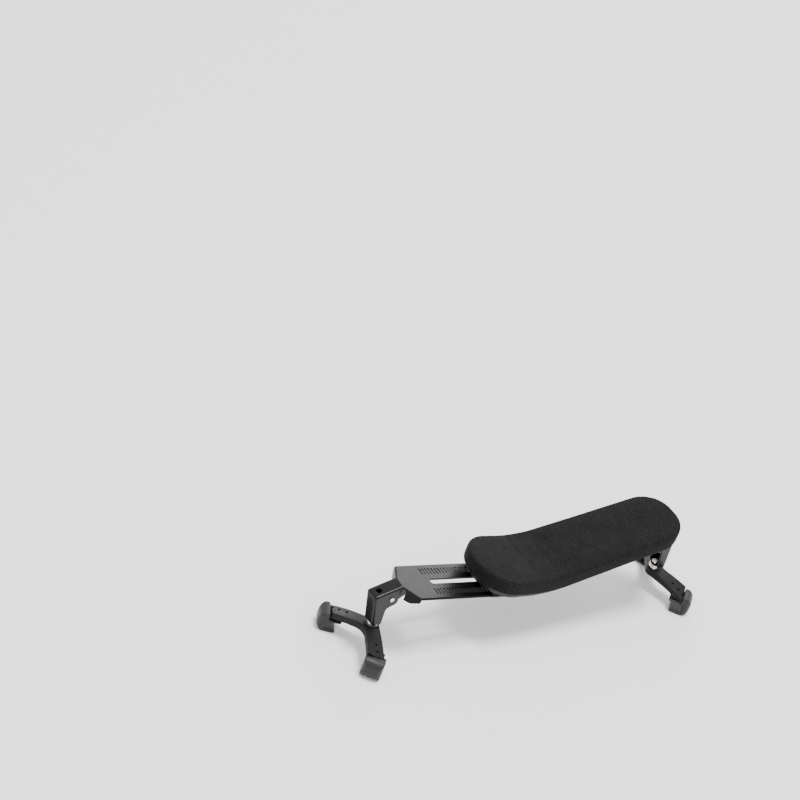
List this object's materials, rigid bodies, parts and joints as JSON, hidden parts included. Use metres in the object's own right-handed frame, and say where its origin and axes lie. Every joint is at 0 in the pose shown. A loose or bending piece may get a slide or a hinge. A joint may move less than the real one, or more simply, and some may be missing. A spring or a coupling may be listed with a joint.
{
  "type": "violin shoulder rest",
  "caption": "Adjustable violin shoulder rest: curved foam pad on slotted metal bars, with folding legs and swivelling rubber-hooked forks.",
  "frame": {"origin": "middle of the footprint, level with the flat soles under the four hooks", "axes": "+X along the rest from the chest end to the shoulder end, +Y towards the violin's scroll, +Z away from the violin's back, up"},
  "size_m": [0.2251, 0.05, 0.0549],
  "materials": {
    "foam": "matte fine-pored foam",
    "liner": "matte",
    "plate": "black satin anodised",
    "bar": "satin black",
    "bracket": "semi-gloss black",
    "nickel": "nickel plated",
    "fork": "moulded, matte",
    "hook": "matte rubber",
    "guide": "matte",
    "knob": "fluted, matte"
  },
  "bodies": {
    "platform": {"base_plate": "plate", "foam_pad": "foam", "pad_liner": "liner", "left_slide_guide": "guide", "left_guide_rivets": "nickel", "left_lock_nut": "nickel", "right_slide_guide": "guide", "right_guide_rivets": "nickel", "right_lock_nut": "nickel"},
    "left_bar": {"left_extension_bar": "bar", "left_hinge_knuckle": "bracket", "left_fold_pin": "nickel", "left_pin_washers": "nickel"},
    "left_leg": {"left_leg_bracket": "bracket", "left_pivot_screw": "nickel", "left_pivot_washer": "nickel", "left_pivot_nut": "nickel"},
    "left_fork": {"left_fork": "fork", "left_front_hook": "hook", "left_rear_hook": "hook"},
    "left_lock": {"left_lock_screw": "knob"},
    "left_clamp": {"left_clamp_plate": "bracket"},
    "right_bar": {"right_extension_bar": "bar", "right_hinge_knuckle": "bracket", "right_fold_pin": "nickel", "right_pin_washers": "nickel"},
    "right_leg": {"right_leg_bracket": "bracket", "right_pivot_screw": "nickel", "right_pivot_washer": "nickel", "right_pivot_nut": "nickel"},
    "right_fork": {"right_fork": "fork", "right_front_hook": "hook", "right_rear_hook": "hook"},
    "right_lock": {"right_lock_screw": "knob"},
    "right_clamp": {"right_clamp_plate": "bracket"}
  },
  "joints": [
    {"name": "left_bar_slide", "type": "slide", "parent": "platform", "child": "left_bar", "axis": [-0.9877, 0, 0.1561], "range_m": [-0.01, 0.014]},
    {"name": "left_leg_fold", "type": "hinge", "parent": "left_bar", "child": "left_leg", "pos_m": [-0.09101, 0.00147, 0.03285], "axis": [0, -1, 0], "range_deg": [0, 75]},
    {"name": "left_fork_swivel", "type": "hinge", "parent": "left_leg", "child": "left_fork", "pos_m": [-0.09371, 0.00147, 0.0142], "axis": [0, 0, 1], "range_deg": [-14, 26]},
    {"name": "left_lock_turn", "type": "hinge", "parent": "platform", "child": "left_lock", "pos_m": [-0.02363, 0.00147, 0.033], "axis": [0.1561, 0, 0.9877], "range_deg": [0, 360]},
    {"name": "left_clamp_lift", "type": "slide", "parent": "platform", "child": "left_clamp", "axis": [0.1561, 0, 0.9877], "range_m": [0, 0.00045]},
    {"name": "right_bar_slide", "type": "slide", "parent": "platform", "child": "right_bar", "axis": [0.9838, 0, 0.1791], "range_m": [-0.01, 0.014]},
    {"name": "right_leg_fold", "type": "hinge", "parent": "right_bar", "child": "right_leg", "pos_m": [0.08759, 0.00147, 0.0345], "axis": [0, 1, 0], "range_deg": [0, 75]},
    {"name": "right_fork_swivel", "type": "hinge", "parent": "right_leg", "child": "right_fork", "pos_m": [0.09279, 0.00147, 0.0142], "axis": [0, 0, 1], "range_deg": [-10.5, 29.5]},
    {"name": "right_lock_turn", "type": "hinge", "parent": "platform", "child": "right_lock", "pos_m": [0.04473, 0.00147, 0.03764], "axis": [-0.1791, 0, 0.9838], "range_deg": [0, 360]},
    {"name": "right_clamp_lift", "type": "slide", "parent": "platform", "child": "right_clamp", "axis": [-0.1791, 0, 0.9838], "range_m": [0, 0.00045]}
  ],
  "couplings": [
    {"joint": "left_lock_turn", "follows": "left_clamp_lift", "rad_per_m": 13963},
    {"joint": "right_lock_turn", "follows": "right_clamp_lift", "rad_per_m": 13963}
  ]
}
